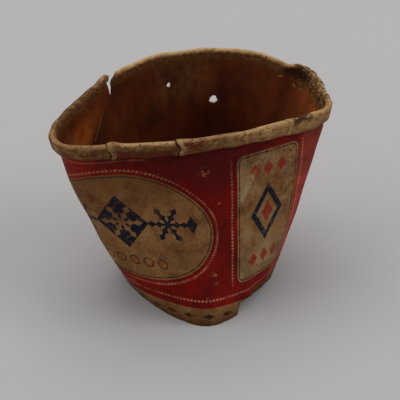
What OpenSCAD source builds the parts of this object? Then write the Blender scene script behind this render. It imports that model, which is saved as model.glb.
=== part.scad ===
// A crushed paper ice cream tub: a card wall, lapped at a side seam and rolled over into a brim, and
// a base pushed in from below. Millimetres, +Z up. The origin is the middle of the foot, on the surface
// that the tub stands on, and the printed front faces -Y.
// Card doesn't stretch, so every line up the wall has the same length. The mouth dips where the wall
// leans out furthest.

/* [Wall] */
// Width of the crushed mouth, left corner to right side, at the middle of the card
mouth_w = 71.5; // [62:0.5:84]
// Depth of the crushed mouth, front to back, at the middle of the card
mouth_d = 54.5; // [46:0.5:64]
// How far the middle of the mouth lies behind the middle of the foot
mouth_back = 10; // [4:0.5:14]
// How far the middle of the mouth lies to the left of the middle of the foot
mouth_left = 1.5; // [0:0.5:5]
// Width of the foot, at the middle of the card
foot_w = 41.5; // [36:0.5:48]
// Depth of the foot, front to back, at the middle of the card
foot_d = 50; // [44:0.5:56]
// Length of the wall up its slope, from the foot's edge to the top of the brim
slant = 53.6; // [46:0.1:64]
// Thickness of the waxed card
card = 0.6; // [0.4:0.05:0.9]
// How far the left wall bulges out, at half its height
left_bulge = 2.2; // [0:0.1:3]
// How far the right wall bulges out, at half its height
right_bulge = 1.1; // [0:0.1:3]

/* [Side seam] */
// Width of the lap where the two ends of the wall are glued together, at the mouth
seam_w = 7; // [4:0.5:12]

/* [Rolled brim] */
// Height of the flattened roll
brim_h = 4.2; // [3.6:0.1:7]
// Thickness of the roll, from the inside of the mouth to its outside
brim_t = 2.1; // [1.9:0.1:4]
// Gap between the tucked edge of the roll and the wall
brim_gap = 0.3; // [0.1:0.05:0.5]

/* [Base] */
// Height of the base panel's underside above the foot's edge
base_rise = 5; // [3:0.25:9]
// Height of the lower edge of the base's skirt above the foot's edge
skirt_rise = 0.5; // [0.2:0.1:2]
// Glue line between the skirt and the wall
glue_line = 0.05; // [0.02:0.01:0.2]

/* [Damage] */
// Length of the tear that runs down from the brim
tear_l = 6; // [5:0.5:14]
// Width of the tear at the top of the brim
tear_w = 2.2; // [0.6:0.1:3]
// Diameter of the larger puncture in the back wall
large_hole_d = 2; // [0.8:0.1:4]
// Diameter of the smaller puncture in the back wall
small_hole_d = 1.3; // [0.6:0.1:3]
// Height of card that is worn away from the foot at its right front, where it is deepest
chip_h = 3.8; // [0.5:0.1:4.5]

/* [Hidden] */

// Stations round the tub, spaced evenly along the card, and rows up the plain wall.
stations = 110;
wall_rows = 7;
arc_steps = 6;
spline_steps = 12;

// Knots of the two outlines, anticlockwise from the right-hand side. They give the shape alone:
// fit_to() brings each loop to its named width and depth.
mouth_knots = [
    [32.5, 3], [33, 12], [31.5, 23.5], [23, 28], [10.5, 36], [-9, 31.5], [-24, 18],
    [-32.5, 5], [-37.5, -8], [-29.5, -16], [-7, -15], [14, -7.5]
];
foot_knots = [
    [18.5, -6], [19.5, 7], [11.5, 20], [-3, 24], [-16, 15.5], [-21.5, 1],
    [-16.5, -12], [-6.5, -22.5], [3, -26], [12.5, -18]
];

// Places round the tub, as shares of a turn along the card, and up the wall, as shares of the slant.
tear_at = 0.455;
large_hole_at = [0.265, 0.72];
small_hole_at = [0.335, 0.82];
seam_at = 0.012;
left_bulge_at = 0.58;
right_bulge_at = 0.98;
bulge_spread = 0.16;
chip_from = 0.885;
chip_to = 0.99;
ramp = 0.01;

// Share of the chip's depth that is left at its far end, and how narrow the tear is halfway down.
chip_far = 0.5;
tear_narrowing = 0.4;

// Cuts go through the whole brim, or well through the card.
tear_reach = 4 * brim_t;
hole_reach = 6 * card;
hole_facets = 32;

// The roll's own sizes, measured at the middle of the card.
half_card = card / 2;
roll_r = (brim_t - card) / 2;
roll_top = slant - half_card - roll_r;
roll_bottom = slant - brim_h + half_card + roll_r;
tuck_end = 360 - acos((roll_r - half_card - brim_gap) / (roll_r + half_card));

// One point of a closed Catmull-Rom loop, in the span that starts at knot i, at share f of the span.
function loop_point(k, i, f) =
    let (n = len(k), a = k[(i + n - 1) % n], b = k[i], c = k[(i + 1) % n], d = k[(i + 2) % n])
    b + f * ((c - a) + f * (2 * a - 5 * b + 4 * c - d + f * (3 * (b - c) + d - a))) / 2;

function loop(k) =
    [for (i = [0 : len(k) - 1], j = [0 : spline_steps - 1]) loop_point(k, i, j / spline_steps)];

function column(points, axis) = [for (p = points) p[axis]];

function middle(values) = (min(values) + max(values)) / 2;

function reach(values) = max(values) - min(values);

// The loop scaled to a width and a depth, with its middle at the origin.
function fit_to(points, w, d) =
    let (x = column(points, 0), y = column(points, 1))
    [for (p = points) [(p[0] - middle(x)) * w / reach(x), (p[1] - middle(y)) * d / reach(y)]];

// Length along a closed loop from its first point to each point, and back to the first.
function running_length(points) =
    [for (i = 0, s = 0; i <= len(points);
        s = s + norm(points[(i + 1) % len(points)] - points[i % len(points)]), i = i + 1) s];

// Points at even spaces along a closed loop.
function even_points(points) =
    let (
        n = len(points),
        s = running_length(points),
        xs = [for (i = [0 : n]) [s[i], points[i % n][0]]],
        ys = [for (i = [0 : n]) [s[i], points[i % n][1]]]
    )
    [for (i = [0 : stations - 1]) let (at = s[n] * i / stations) [lookup(at, xs), lookup(at, ys)]];

// Unit vectors that point out of a closed loop, one for each point.
function outward(points) =
    let (n = len(points))
    [for (i = [0 : n - 1])
        let (t = points[(i + 1) % n] - points[(i + n - 1) % n]) [t[1], -t[0]] / norm(t)];

foot_line = even_points(fit_to(loop(foot_knots), foot_w, foot_d));
mouth_line = [for (p = even_points(fit_to(loop(mouth_knots), mouth_w, mouth_d)))
    p + [-mouth_left, mouth_back]];
seam_share = seam_w / running_length(mouth_line)[stations];
foot_out = outward(foot_line);
mouth_out = outward(mouth_line);
mouth_z = [for (i = [0 : stations - 1])
    sqrt(slant * slant - pow(norm(mouth_line[i] - foot_line[i]), 2))];

// 1 at the middle of a bulge, falling to 0 at its spread on either side, round the turn.
function swell(share, middle_at) =
    let (away = abs(share - middle_at), d = min(away, 1 - away) / bulge_spread)
    d < 1 ? pow(cos(90 * d), 2) : 0;

// 0 at the foot and at the mouth, and 1 at half the height.
function belly(up) = 4 * up * (1 - up);

function bulge(i, up) =
    belly(up) * (left_bulge * swell(i / stations, left_bulge_at)
        + right_bulge * swell(i / stations, right_bulge_at));

// 0 outside and 1 inside a stretch of the turn, with a short ramp at each end.
function stretch(share, from, to) = max(0, min(1, (share - from) / ramp, (to - share) / ramp));

// How far up the slant the foot is worn away, deepest where the chip starts.
function foot_edge(i) =
    let (share = i / stations, along = (share - chip_from) / (chip_to - chip_from))
    chip_h * stretch(share, chip_from, chip_to) * (1 - (1 - chip_far) * along);

// Thickness that the second layer of card adds at the side seam.
function lap(i) = card * stretch(i / stations, seam_at, seam_at + seam_share + ramp);

// A point of the wall: station i, share of the slant up it, and distance out from the middle of the card.
function wall_point(i, up, out) =
    let (
        h = foot_out[i] * (1 - up) + mouth_out[i] * up,
        p = foot_line[i] * (1 - up) + mouth_line[i] * up + h / norm(h) * (out + bulge(i, up))
    )
    [p[0], p[1], mouth_z[i] * up];

// The same at a height above the foot.
function wall_at_height(i, z, out) = wall_point(i, z / mouth_z[i], out);

// The same at any share of a turn, for what is cut out of the wall.
function wall_at(share, up) = wall_point(round(share * stations) % stations, up, 0);

function wall_azimuth(share) =
    let (h = mouth_out[round(share * stations) % stations]) atan2(h[1], h[0]);

// An arc of the roll's section about a centre on the slant: [distance up the slant, distance out].
function roll_arc(centre, r, from, to) =
    [for (j = [0 : arc_steps])
        let (a = from + (to - from) * j / arc_steps) [centre + r * sin(a), roll_r - r * cos(a)]];

// Outside of the card at one station, from the top of the inside, over the roll and down to the foot.
function outside_section(rows) =
    let (outer = roll_r + half_card, inner = roll_r - half_card)
    concat(
        roll_arc(roll_top, outer, 0, 180),
        roll_arc(roll_bottom, outer, 180, tuck_end),
        roll_arc(roll_bottom, inner, tuck_end, 180),
        roll_arc(roll_top, inner, 180, 0),
        [for (j = [wall_rows - 1 : -1 : 0]) [rows[j], half_card]]
    );

// Places up the slant where the wall has a row of points: the foot's edge, the top of the base, then
// even steps to the roll.
function wall_rows_at(i) =
    let (
        low = foot_edge(i),
        seat = max(low + card, (base_rise + card) / mouth_z[i] * slant)
    )
    concat([low], [for (j = [0 : wall_rows - 2]) seat + (roll_bottom - seat) * j / (wall_rows - 1)]);

// Closed section of the card at station i. The seam's second layer moves the outside out.
function wall_section(i) =
    let (rows = wall_rows_at(i))
    concat(
        [for (s = rows) [s, -half_card]],
        [for (q = outside_section(rows)) q + [0, lap(i)]]
    );

// Triangles between rings of n points, joined end to end into a closed ring of rings.
function ring_faces(rings, n) =
    [for (i = [0 : rings - 1], j = [0 : n - 1])
        let (a = i * n, b = ((i + 1) % rings) * n, k = (j + 1) % n)
        each [[a + j, b + j, b + k], [a + j, b + k, a + k]]];

module card_shell() {
    sections = [for (i = [0 : stations - 1]) wall_section(i)];
    polyhedron(
        [for (i = [0 : stations - 1], q = sections[i]) wall_point(i, q[0] / slant, q[1])],
        ring_faces(stations, len(sections[0])),
        convexity = 6
    );
}

// The tear: a long wedge through the brim and the top of the wall, with a kink halfway down.
module tear() {
    wedge = [
        [-tear_w / 2, brim_t], [-tear_w / 2, 0], [0, -tear_l],
        [tear_w / 2 * tear_narrowing, -tear_l / 2], [tear_w / 2, 0], [tear_w / 2, brim_t]
    ];
    translate(wall_at(tear_at, 1))
        rotate([90, 0, wall_azimuth(tear_at) + 90])
            linear_extrude(tear_reach, center = true)
                polygon(wedge);
}

module puncture(at, d) {
    translate(wall_at(at[0], at[1]))
        rotate([0, 90, wall_azimuth(at[0])])
            cylinder(d = d, h = hole_reach, center = true, $fn = hole_facets);
}

module tub_wall() {
    color("firebrick")
        difference() {
            card_shell();
            tear();
            puncture(large_hole_at, large_hole_d);
            puncture(small_hole_at, small_hole_d);
        }
}

// Lower edge of the base's skirt, worn away with the foot in front of it.
function skirt_edge(i) = min(base_rise - card, skirt_rise + foot_edge(i));

// The base: a flat panel with a skirt turned down all round, glued inside the foot.
module base_panel() {
    n = stations;
    skirt_out = -half_card - glue_line;
    skirt_in = skirt_out - card;
    outer_low = [for (i = [0 : n - 1]) wall_at_height(i, skirt_edge(i), skirt_out)];
    outer_top = [for (i = [0 : n - 1]) wall_at_height(i, base_rise + card, skirt_out)];
    inner_top = [for (i = [0 : n - 1]) wall_at_height(i, base_rise, skirt_in)];
    inner_low = [for (i = [0 : n - 1]) wall_at_height(i, skirt_edge(i), skirt_in)];
    sides = ring_faces(4, n);
    panel_faces = [[for (i = [n - 1 : -1 : 0]) n + i], [for (i = [0 : n - 1]) 2 * n + i]];
    between_panels = function (f) min(f) >= n && max(f) < 3 * n;
    color("tan")
        polyhedron(
            concat(outer_low, outer_top, inner_top, inner_low),
            concat(panel_faces, [for (f = sides) if (!between_panels(f)) f]),
            convexity = 4
        );
}

tub_wall();
base_panel();
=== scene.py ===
# %% [markdown]
# # A crushed paper ice cream tub
#
# The real tub is one sheet of printed, waxed card. It is wrapped into a cone, glued along a side seam,
# and rolled over at the top into a brim. A second piece of card is glued in as the base. This one has
# been squashed, torn and stained for years, and those marks are most of what the eye sees.
#
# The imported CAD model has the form. This lesson traces that form, builds a finer card around it with
# the small damage, and then mixes the print and the dirt from procedural nodes.

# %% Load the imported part
import math
from functools import reduce

import bmesh
import bpy
import numpy as np
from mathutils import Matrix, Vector
from mathutils.bvhtree import BVHTree


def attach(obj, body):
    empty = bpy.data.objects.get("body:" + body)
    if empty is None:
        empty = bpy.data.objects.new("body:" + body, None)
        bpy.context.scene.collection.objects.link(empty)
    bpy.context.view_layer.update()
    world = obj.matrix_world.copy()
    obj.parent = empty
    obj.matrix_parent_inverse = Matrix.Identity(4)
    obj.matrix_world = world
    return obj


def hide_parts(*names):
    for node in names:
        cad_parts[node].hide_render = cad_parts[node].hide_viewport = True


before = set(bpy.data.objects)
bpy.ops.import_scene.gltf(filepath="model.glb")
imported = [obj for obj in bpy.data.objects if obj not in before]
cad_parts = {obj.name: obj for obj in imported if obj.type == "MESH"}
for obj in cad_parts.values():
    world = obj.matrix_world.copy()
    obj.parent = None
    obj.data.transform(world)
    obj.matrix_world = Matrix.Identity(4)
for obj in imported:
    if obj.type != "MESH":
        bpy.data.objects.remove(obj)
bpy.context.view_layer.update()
MM = 0.001

# %% [markdown]
# ## The camera
#
# A photograph can be matched by eye, or by solving for the camera that puts known points on the right
# pixels. Solving is steadier: the tub's outline gave a view 32 degrees down from 400 mm away with a long
# lens. The point that the camera was fitted round lies a little above the middle of the picture, so
# the camera is aimed below it, which needs no lens shift.

# %% Camera
IMAGE_SIDE_PX = 400
FOCAL_PX = 1455
SENSOR_MM = 36.0
CAMERA_DOWN_DEG = 32.0
CAMERA_AWAY = 400 * MM
FITTED_POINT = Vector((0.95, 0.85, 30.0)) * MM
FITTED_POINT_PX = (201.0, 181.5)


def add_camera():
    down = math.radians(CAMERA_DOWN_DEG)
    back = Vector((0, -math.cos(down), math.sin(down)))
    up = Vector((0, math.sin(down), math.cos(down)))
    mm_per_px = CAMERA_AWAY / FOCAL_PX
    aim = FITTED_POINT.copy()
    aim.x -= (FITTED_POINT_PX[0] - IMAGE_SIDE_PX / 2) * mm_per_px
    aim -= up * (IMAGE_SIDE_PX / 2 - FITTED_POINT_PX[1]) * mm_per_px
    camera = bpy.data.objects.new("camera", bpy.data.cameras.new("camera"))
    bpy.context.scene.collection.objects.link(camera)
    camera.location = FITTED_POINT + back * CAMERA_AWAY
    camera.rotation_euler = (aim - camera.location).to_track_quat("-Z", "Y").to_euler()
    camera.data.sensor_width = SENSOR_MM
    camera.data.lens = SENSOR_MM * FOCAL_PX / IMAGE_SIDE_PX
    camera.data.clip_start = 10 * MM
    bpy.context.scene.camera = camera
    return camera


camera = add_camera()
print("camera lens in mm", round(camera.data.lens, 1))

# %% [markdown]
# ## Small helpers for nodes
#
# Every finish below is a graph of shader nodes. Wiring each node by hand hides the idea, so a small
# class wraps a node tree: each method adds one node and hands back its output socket, and a plain
# number or colour can stand wherever a socket can.

# %% A short way to write node graphs


class Graph:
    """Adds nodes to a tree. Arguments are sockets, numbers, colours or vectors."""

    def __init__(self, tree):
        self.tree = tree

    def node(self, kind, **settings):
        made = self.tree.nodes.new(kind)
        for name, value in settings.items():
            setattr(made, name, value)
        return made

    def feed(self, socket, value):
        if isinstance(value, bpy.types.NodeSocket):
            self.tree.links.new(value, socket)
        elif value is not None:
            socket.default_value = value

    def math(self, operation, a, b=None, c=None, clamp=False):
        made = self.node("ShaderNodeMath", operation=operation, use_clamp=clamp)
        for socket, value in zip(made.inputs, (a, b, c)):
            self.feed(socket, value)
        return made.outputs[0]

    def add(self, a, b):
        return self.math("ADD", a, b)

    def sub(self, a, b):
        return self.math("SUBTRACT", a, b)

    def mul(self, *values):
        return reduce(lambda a, b: self.math("MULTIPLY", a, b), values)

    def div(self, a, b):
        return self.math("DIVIDE", a, b)

    def most(self, *values):
        return reduce(lambda a, b: self.math("MAXIMUM", a, b), values)

    def least(self, a, b):
        return self.math("MINIMUM", a, b)

    def absolute(self, a):
        return self.math("ABSOLUTE", a)

    def length(self, a, b):
        return self.math("SQRT", self.add(self.mul(a, a), self.mul(b, b)))

    def inside(self, distance, soft=0.08):
        """1 where a distance in mm is below zero, with an edge that is soft over that many mm."""
        return self.rise(distance, soft, -soft)

    def rise(self, value, low, high):
        """0 at low and 1 at high, eased at both ends."""
        made = self.node("ShaderNodeMapRange", interpolation_type="SMOOTHSTEP")
        self.feed(made.inputs["Value"], value)
        if low < high:
            made.inputs["From Min"].default_value = low
            made.inputs["From Max"].default_value = high
            return made.outputs["Result"]
        made.inputs["From Min"].default_value = high
        made.inputs["From Max"].default_value = low
        return self.sub(1.0, made.outputs["Result"])

    def span(self, value, start, full, fading, end):
        """1 on a stretch between two values, easing in and out at its ends."""
        return self.mul(self.rise(value, start, full), self.rise(value, end, fading))

    def between(self, share, low, high):
        """low where share is 0 and high where it is 1."""
        return self.math("MULTIPLY_ADD", share, high - low, low)

    def vector(self, x, y, z=0.0):
        made = self.node("ShaderNodeCombineXYZ")
        for socket, value in zip(made.inputs, (x, y, z)):
            self.feed(socket, value)
        return made.outputs[0]

    def split(self, vector):
        made = self.node("ShaderNodeSeparateXYZ")
        self.feed(made.inputs[0], vector)
        return made.outputs[0], made.outputs[1], made.outputs[2]

    def stretch(self, vector, x, y, z):
        made = self.node("ShaderNodeVectorMath", operation="MULTIPLY")
        self.feed(made.inputs[0], vector)
        made.inputs[1].default_value = (x, y, z)
        return made.outputs[0]

    def noise(self, vector, size, detail=2.0, rough=0.5, bend=0.0):
        """Cloudy noise from 0 to 1, with lumps of about that size in the vector's own unit."""
        made = self.node("ShaderNodeTexNoise")
        self.feed(made.inputs["Vector"], vector)
        made.inputs["Scale"].default_value = 1.0 / size
        made.inputs["Detail"].default_value = detail
        made.inputs["Roughness"].default_value = rough
        made.inputs["Distortion"].default_value = bend
        return made.outputs["Fac"]

    def mix(self, share, a, b):
        """Colour a, giving way to colour b as share goes to 1."""
        made = self.node("ShaderNodeMix", data_type="RGBA")
        for socket, value in zip((made.inputs[0], made.inputs[6], made.inputs[7]), (share, a, b)):
            self.feed(socket, value)
        return made.outputs[2]

    def paint(self, skin, ink, *shares):
        """A skin under a layer of ink, which covers it as far as all the shares together let it."""
        return self.mix(self.mul(*shares), skin, ink)

    def group(self, tree, **values):
        """One of the shared groups, with its named inputs set. Returns the node, for its outputs."""
        made = self.node("ShaderNodeGroup", node_tree=tree)
        for name, value in values.items():
            self.feed(made.inputs[name.replace("_", " ")], value)
        return made


print("node helper ready")

# %% [markdown]
# ## The studio
#
# The photograph was taken on a plain grey sheet under soft light from above and behind, with a little
# more from the right, so the printed front is in half shade and the shadow lies close under the flared
# wall. A pale world gives the fill. A large softbox above and a small one at each side give the
# direction, and they are set so that the floor comes out at about the grey it is given. The world shows
# that same grey to the camera, so that low views have no dark horizon.

# %% Floor, world and lamps
FLOOR_GREY, FLOOR_CLOUD = (173, 171, 171), (172, 170, 170)
FLOOR_SIDE = 6.0
FLOOR_BELOW_FOOT = 0.02 * MM
FILL_STRENGTH = 0.460
SOFTBOXES = {
    # name: (where it stands in metres, side in metres, share of the floor's light that it gives)
    "softbox_above": ((-0.08, 0.34, 0.98), 0.8, 0.395),
    "softbox_right": ((0.85, -0.05, 0.64), 0.6, 0.115),
    "softbox_left": ((-0.85, -0.10, 0.52), 0.6, 0.065),
}


def colour(red, green, blue):
    """Blender's linear colour from the 0 to 255 values that a picture shows."""
    parts = [value / 255 for value in (red, green, blue)]
    return tuple(p / 12.92 if p <= 0.04045 else ((p + 0.055) / 1.055) ** 2.4 for p in parts) + (1.0,)


def new_material(name):
    """A material with a Principled BSDF, as (material, its graph, the shader node)."""
    material = bpy.data.materials.new(name)
    material.use_nodes = True
    return material, Graph(material.node_tree), material.node_tree.nodes["Principled BSDF"]


def add_floor():
    side = FLOOR_SIDE / 2
    mesh = bpy.data.meshes.new("floor")
    square = [(-side, -side, 0), (side, -side, 0), (side, side, 0), (-side, side, 0)]
    mesh.from_pydata(square, [], [(0, 1, 2, 3)])
    floor = bpy.data.objects.new("floor", mesh)
    floor.location.z = -FLOOR_BELOW_FOOT
    bpy.context.scene.collection.objects.link(floor)
    material, g, shader = new_material("grey_sheet")
    place = g.node("ShaderNodeTexCoord").outputs["Object"]
    clouds = g.noise(place, 0.12, detail=3)
    g.feed(shader.inputs["Base Color"], g.mix(clouds, colour(*FLOOR_CLOUD), colour(*FLOOR_GREY)))
    shader.inputs["Roughness"].default_value = 0.9
    shader.inputs["Specular IOR Level"].default_value = 0.1
    mesh.materials.append(material)
    return floor


def add_world():
    world = bpy.data.worlds.new("studio")
    bpy.context.scene.world = world
    world.use_nodes = True
    g = Graph(world.node_tree)
    light = world.node_tree.nodes["Background"]
    light.inputs["Color"].default_value = (1.0, 1.0, 1.0, 1.0)
    light.inputs["Strength"].default_value = FILL_STRENGTH
    seen = g.node("ShaderNodeBackground")
    seen.inputs["Color"].default_value = colour(*FLOOR_GREY)
    path = g.node("ShaderNodeLightPath")
    shown = g.most(path.outputs["Is Camera Ray"], path.outputs["Is Glossy Ray"],
                   path.outputs["Is Transmission Ray"])
    choose = g.node("ShaderNodeMixShader")
    g.feed(choose.inputs[0], shown)
    g.feed(choose.inputs[1], light.outputs[0])
    g.feed(choose.inputs[2], seen.outputs[0])
    g.feed(world.node_tree.nodes["World Output"].inputs["Surface"], choose.outputs[0])


def add_softbox(name, place, side, share):
    """A square lamp aimed at the tub, strong enough to give the floor that share of full light."""
    place = Vector(place)
    lamp = bpy.data.lights.new(name, "AREA")
    lamp.size = side
    slope = place.z / place.length
    lamp.energy = share * math.pi ** 2 * place.length_squared / slope ** 2
    softbox = bpy.data.objects.new(name, lamp)
    softbox.location = place
    softbox.rotation_euler = (-place).to_track_quat("-Z", "Y").to_euler()
    bpy.context.scene.collection.objects.link(softbox)


floor = add_floor()
add_world()
for name, (place, side, share) in SOFTBOXES.items():
    add_softbox(name, place, side, share)
bpy.context.scene.view_settings.view_transform = "Standard"
print("softboxes", list(SOFTBOXES))

# %% [markdown]
# ## Tracing the wall
#
# The CAD wall has the crushed form in flat facets. A finer card could be subdivided from those facets,
# but the brim and the holes would come out lumpy. Here the wall is measured instead: rays go out from
# the middle of the tub at many heights, and where they meet the card gives its outline at each height.
# A little smoothing round the tub takes the facets away and leaves the form.

# %% Rays through the wall
RAYS = 720
TRACE_LEVELS = np.linspace(0.06, 0.96, 26)
SMOOTH_TURNS = 44
JUST_PAST_MM = 0.01
wall_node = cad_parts["tub_wall"]
corners = np.array([corner.co[:] for corner in wall_node.data.vertices]) / MM
wall_tree = BVHTree.FromPolygons(
    [Vector(corner) for corner in corners], [face.vertices[:] for face in wall_node.data.polygons]
)
ray_angles = np.arange(RAYS) * math.tau / RAYS
brim_corners = corners[corners[:, 2] > 0.8 * corners[:, 2].max()]
mouth_middle = (brim_corners.min(axis=0) + brim_corners.max(axis=0))[:2] / 2


def smooth_round(values, keep=SMOOTH_TURNS):
    """Values that go once round the tub, without the ripples that are finer than that many a turn."""
    waves = np.fft.rfft(values, axis=0)
    order = np.arange(len(waves))
    share = np.clip((keep - order) / (keep / 2), 0, 1)
    waves *= share.reshape((-1,) + (1,) * (waves.ndim - 1))
    return np.fft.irfft(waves, n=len(values), axis=0)


def fill_gaps(values):
    """Values round the tub, with the missing ones (not a number) bridged from their neighbours."""
    known = np.flatnonzero(~np.isnan(values))
    return np.interp(np.arange(len(values)), known, values[known], period=len(values))


def crest_heights():
    """Height of the brim's crest in each ray's direction."""
    spoke = np.arctan2(brim_corners[:, 1] - mouth_middle[1], brim_corners[:, 0] - mouth_middle[0]) % math.tau
    sectors = 90
    sector = np.floor(spoke / math.tau * sectors).astype(int) % sectors
    tallest = np.array([
        brim_corners[sector == k, 2].max() if np.any(sector == k) else np.nan for k in range(sectors)
    ])
    middles = (np.arange(sectors) + 0.5) * math.tau / sectors
    return np.interp(ray_angles, middles, fill_gaps(tallest), period=math.tau)


def trace_level(level, crest):
    """For each ray: how far the card's inside is, how squarely the ray meets it, how thick the card is."""
    found = np.full((3, RAYS), np.nan)
    for k, angle in enumerate(ray_angles):
        away = Vector((math.cos(angle), math.sin(angle), 0))
        start = Vector((*(mouth_middle * level), level * crest[k]))
        hit, facing, _, near = wall_tree.ray_cast(start, away)
        if hit is None:
            continue
        flat = Vector((facing.x, facing.y, 0)).normalized()
        square = abs(flat.dot(away))
        _, _, _, through = wall_tree.ray_cast(hit + away * JUST_PAST_MM, away)
        found[:, k] = near, square, (through or np.nan) * square
    return found


crest = smooth_round(crest_heights(), keep=24)
traces = np.array([trace_level(level, crest) for level in TRACE_LEVELS])
plain_levels = TRACE_LEVELS < 0.85
card = float(np.nanmedian(traces[plain_levels, 2]))
print("card is", round(card, 3), "mm thick; mouth is centred on", mouth_middle.round(2))

# %% [markdown]
# Each outline is then cut into the same number of even steps, counted anticlockwise from the right-hand
# side. The same step at every height makes a line up the wall, as a crease in flat card would run, and
# a gentle cubic through the heights gives the wall anywhere. From here on a place on the tub is a share
# of a turn and a distance up the slope.

# %% Even steps round the tub
STEPS = 720
COUNT_STARTS_DEG = (-14.5, -11.1)    # direction of the first step, at the foot and at the mouth
CUBIC = 3
TABLE_LEVELS = np.linspace(-0.04, 1.08, 120)
step_turns = np.arange(STEPS) / STEPS


def even_steps(level, trace):
    """The middle of the card at one height and the crest above it, in even steps, and the way round."""
    near, square, _ = trace
    reach = smooth_round(fill_gaps(near + card / 2 / square))
    first = math.radians(np.interp(level, (0, 1), COUNT_STARTS_DEG))
    fine = first + np.linspace(0, math.tau, 4 * RAYS + 1)
    fine_reach = np.interp(fine, ray_angles, reach, period=math.tau)
    line = mouth_middle * level + fine_reach[:, None] * np.stack([np.cos(fine), np.sin(fine)], axis=1)
    run = np.concatenate([[0], np.cumsum(np.linalg.norm(np.diff(line, axis=0), axis=1))])
    at = step_turns * run[-1]
    here = np.stack([np.interp(at, run, line[:, axis]) for axis in (0, 1)], axis=1)
    return here, np.interp(np.interp(at, run, fine), ray_angles, crest, period=math.tau), run[-1]


traced = [even_steps(level, trace) for level, trace in zip(TRACE_LEVELS, traces)]
lines = np.array([here for here, _, _ in traced])
rim_height = smooth_round(traced[-1][1], keep=24)
round_foot, round_mouth = np.polyval(np.polyfit(TRACE_LEVELS, [way for _, _, way in traced], 1), (0, 1))
powers = np.vander(TRACE_LEVELS, CUBIC + 1, increasing=True)
cubics = np.linalg.lstsq(powers, lines.reshape(len(lines), -1), rcond=None)[0]
cubics = cubics.reshape(CUBIC + 1, STEPS, 2)
slope = float(np.mean(np.sqrt(np.sum(cubics[1:].sum(axis=0) ** 2, axis=1) + rim_height ** 2)))

table_middle = np.tensordot(np.vander(TABLE_LEVELS, CUBIC + 1, increasing=True), cubics, axes=1)
ahead = np.roll(table_middle, -1, axis=1) - np.roll(table_middle, 1, axis=1)
ahead /= np.linalg.norm(ahead, axis=2, keepdims=True)
table_outward = np.stack([ahead[..., 1], -ahead[..., 0]], axis=2)
print("slope", round(slope, 2), "mm; foot and mouth", round(round_foot, 1), round(round_mouth, 1), "mm round")

# %% Places on the wall


def on_wall(turn, up, out):
    """Points in mm at shares of a turn, distances up the slope and distances out from the card's middle."""
    turn, up, out = np.broadcast_arrays(turn, up, out)
    step = turn % 1 * STEPS
    left = np.floor(step).astype(int) % STEPS
    right = (left + 1) % STEPS
    share = (step - np.floor(step))[..., None]
    at = (up / slope - TABLE_LEVELS[0]) / (TABLE_LEVELS[1] - TABLE_LEVELS[0])
    low = np.clip(np.floor(at).astype(int), 0, len(TABLE_LEVELS) - 2)
    rest = (at - low)[..., None]

    def between(table):
        lower = table[low, left] * (1 - share) + table[low, right] * share
        upper = table[low + 1, left] * (1 - share) + table[low + 1, right] * share
        return lower * (1 - rest) + upper * rest

    flat = between(table_middle) + between(table_outward) * out[..., None]
    rim = rim_height[left] * (1 - share[..., 0]) + rim_height[right] * share[..., 0]
    return np.concatenate([flat, (rim * up / slope)[..., None]], axis=-1)


def seam_turns():
    """The shares of a turn at which the card is double, where the rays met about twice its thickness."""
    half_way = len(TRACE_LEVELS) // 2
    doubled = ray_angles[traces[half_way, 2] > 1.5 * card]
    spokes = lines[half_way] - mouth_middle * TRACE_LEVELS[half_way]
    angles = np.arctan2(spokes[:, 1], spokes[:, 0])
    apart = np.abs((angles[:, None] - doubled[None, :] + math.pi) % math.tau - math.pi).min(axis=1)
    return step_turns[apart < math.tau / RAYS]


seam = seam_turns()
print("the card is double from", seam.min().round(3), "to", seam.max().round(3), "of a turn")


FOOT_HEIGHTS = np.linspace(0.15, 6.0, 40)


def foot_edges():
    """How far up the slope the card starts, at each step: where the foot is worn away, rays miss it."""
    edges = np.zeros(STEPS)
    for k, turn in enumerate(step_turns):
        inner, outer = on_wall(turn, FOOT_HEIGHTS, -card), on_wall(turn, FOOT_HEIGHTS, card)
        for height, start, end in zip(FOOT_HEIGHTS, inner, outer):
            start, end = Vector(start), Vector(end)
            if wall_tree.ray_cast(start, end - start, (end - start).length)[0] is not None:
                break
            edges[k] = height
    return edges


foot_edge_steps = np.clip(smooth_round(foot_edges(), keep=90), 0, None)
most_worn = step_turns[foot_edge_steps.argmax()]
print("the foot is worn by up to", foot_edge_steps.max().round(2), "mm, at", most_worn.round(3))

# %% [markdown]
# ## Years of damage
#
# Old card is never even. It buckles in long soft waves, its rolled brim cracks across and the pieces
# slip past each other, and where it was folded it keeps a crease. Sculpting that by hand would not
# repeat, and noise in the material would not change the outline. So the damage is a set of small
# distances, in millimetres, that are added to the card's own form: sums of seeded waves, and humps at
# the places where the photograph shows a mark.

# %% Waves and humps round the tub
dice = np.random.default_rng(11)
# Cracks across the brim: share of a turn, depth, and how far the card after it stands up, in mm.
BRIM_CRACKS = [
    (0.6948, 0.34, 0.25), (0.7842, 0.45, 0.40), (0.8761, 0.22, 0.00), (0.9412, 0.20, 0.10),
    (0.075, 0.20, 0.00), (0.230, 0.18, 0.00), (0.305, 0.16, 0.10), (0.372, 0.18, 0.00),
    (0.535, 0.20, 0.10), (0.612, 0.15, 0.00),
]
TEAR_AT = 0.4505
MESH_STATIONS = 600
# How much closer together the stations are at a mark, and over how many mm.
CROWDING, CROWDED_MM = 5.0, 1.3


def mm_from(turn, at):
    """Distance in mm along the mouth from one place on the tub, positive anticlockwise."""
    return ((turn - at + 0.5) % 1 - 0.5) * round_mouth


def hump(turn, at, width):
    """1 at a place on the tub, falling away over that many mm on both sides."""
    return np.exp(-(mm_from(turn, at) / width) ** 2)


def ease(value, low, high):
    """0 at low and 1 at high, eased at both ends."""
    share = np.clip((value - low) / (high - low), 0, 1)
    return share * share * (3 - 2 * share)


def span(value, start, full, fading, end):
    """1 on a stretch between two values, easing in and out at its ends."""
    return ease(value, start, full) * (1 - ease(value, fading, end))


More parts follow.
